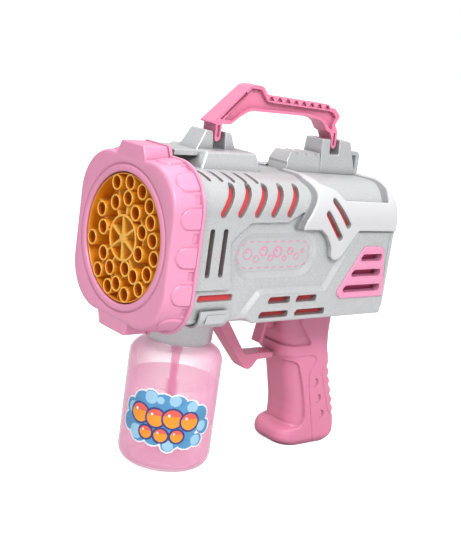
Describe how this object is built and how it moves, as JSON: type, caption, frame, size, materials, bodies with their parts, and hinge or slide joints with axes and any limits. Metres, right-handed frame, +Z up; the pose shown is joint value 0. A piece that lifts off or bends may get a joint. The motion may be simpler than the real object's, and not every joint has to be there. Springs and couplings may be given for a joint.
{
  "type": "toy bubble blaster",
  "caption": "Battery toy that blows bubbles from a round cluster of tubes, with a carry handle, pistol grip, trigger and a screw-on bottle of solution underneath.",
  "frame": {"origin": "on the ground, under the middle of the object's bounding box; it stands on its bottle and grip", "axes": "+Z up; the muzzle faces -X and the grip is at +X; +Y is the object's right as its user holds it"},
  "size_m": [0.178, 0.096, 0.2236],
  "materials": {
    "silver": "satin silver with a fine flake",
    "white": "smooth white",
    "pink": "smooth pink",
    "grip_pink": "satin deep pink",
    "amber": "glossy amber",
    "duct_red": "satin red",
    "clear_pink": "clear pink",
    "solution": "clear pink liquid",
    "label": "printed film",
    "steel": "plated",
    "nylon": "natural nylon",
    "black": "satin black",
    "seal": "matte grey",
    "cell": "printed sleeve",
    "board": "green laminate"
  },
  "bodies": {
    "housing": {"left_shell": "silver", "right_shell": "silver", "rear_cover": "white", "front_bezel": "pink", "inner_duct": "duct_red", "left_armor_plate": "white", "right_armor_plate": "white", "left_vent_grille": "pink", "right_vent_grille": "pink", "belly_plate": "silver", "top_rail": "silver", "front_handle_mount": "silver", "rear_handle_mount": "silver", "carry_handle": "pink", "bottle_socket": "silver", "dip_tube": "clear_pink", "gearbox_frame": "white", "pump_housing": "white", "solution_tube": "clear_pink", "pump_motor": "steel", "fan_motor": "steel", "fan_shroud": "black", "left_grip_shell": "grip_pink", "right_grip_shell": "grip_pink", "trigger_guard": "pink", "trigger_spring": "steel", "trigger_switch": "black", "aa_cell_1": "cell", "aa_cell_2": "cell", "aa_cell_3": "cell", "aa_cell_4": "cell", "upper_battery_contact": "steel", "lower_battery_contact": "steel", "shell_screw_1": "steel", "shell_screw_2": "steel", "shell_screw_3": "steel", "grip_screw_1": "steel", "grip_screw_2": "steel", "circuit_board": "board", "battery_lead": "black", "fan_lead": "black", "pump_lead": "black"},
    "nozzle": {"bubble_nozzle": "amber", "nozzle_shaft": "steel", "nozzle_gear": "nylon"},
    "motor_pinion": {"motor_pinion": "nylon"},
    "pump_rotor": {"pump_rotor": "nylon", "pump_gear": "nylon"},
    "fan": {"fan_impeller": "white", "fan_shaft": "steel"},
    "trigger": {"trigger": "pink"},
    "bottle_gasket": {"bottle_gasket": "seal"},
    "bottle": {"bottle": "clear_pink", "bubble_solution": "solution", "bottle_label": "label"},
    "battery_door": {"battery_door": "grip_pink", "battery_door_screw": "steel"}
  },
  "joints": [
    {"name": "nozzle_spin", "type": "hinge", "parent": "housing", "child": "nozzle", "pos_m": [-0.089, 0, 0.135], "axis": [1, 0, 0], "continuous": true},
    {"name": "pinion_spin", "type": "hinge", "parent": "housing", "child": "motor_pinion", "pos_m": [-0.06, 0, 0.1534], "axis": [1, 0, 0], "continuous": true},
    {"name": "pump_spin", "type": "hinge", "parent": "housing", "child": "pump_rotor", "pos_m": [-0.06, 0, 0.1134], "axis": [1, 0, 0], "continuous": true},
    {"name": "fan_spin", "type": "hinge", "parent": "housing", "child": "fan", "pos_m": [0.03, 0, 0.135], "axis": [1, 0, 0], "continuous": true},
    {"name": "trigger_pull", "type": "slide", "parent": "housing", "child": "trigger", "axis": [1, 0, 0], "range_m": [0, 0.003], "stiffness_N_per_m": 400, "springref_m": -0.001, "deforming": ["trigger_spring"]},
    {"name": "bottle_rise", "type": "slide", "parent": "housing", "child": "bottle_gasket", "axis": [0, 0, -1], "range_m": [0, 0.0102]},
    {"name": "bottle_turn", "type": "hinge", "parent": "bottle_gasket", "child": "bottle", "pos_m": [-0.0405, 0, 0], "axis": [0, 0, -1], "range_deg": [0, 900]},
    {"name": "door_hinge", "type": "hinge", "parent": "housing", "child": "battery_door", "pos_m": [0.0462, 0, 0.0013], "axis": [0, 1, 0], "range_deg": [0, 80]}
  ],
  "couplings": [
    {"joint": "pinion_spin", "follows": "nozzle_spin", "ratio": -3.6},
    {"joint": "pump_spin", "follows": "nozzle_spin", "ratio": -2},
    {"joint": "bottle_rise", "follows": "bottle_turn", "m_per_rad": 0.00063662}
  ]
}
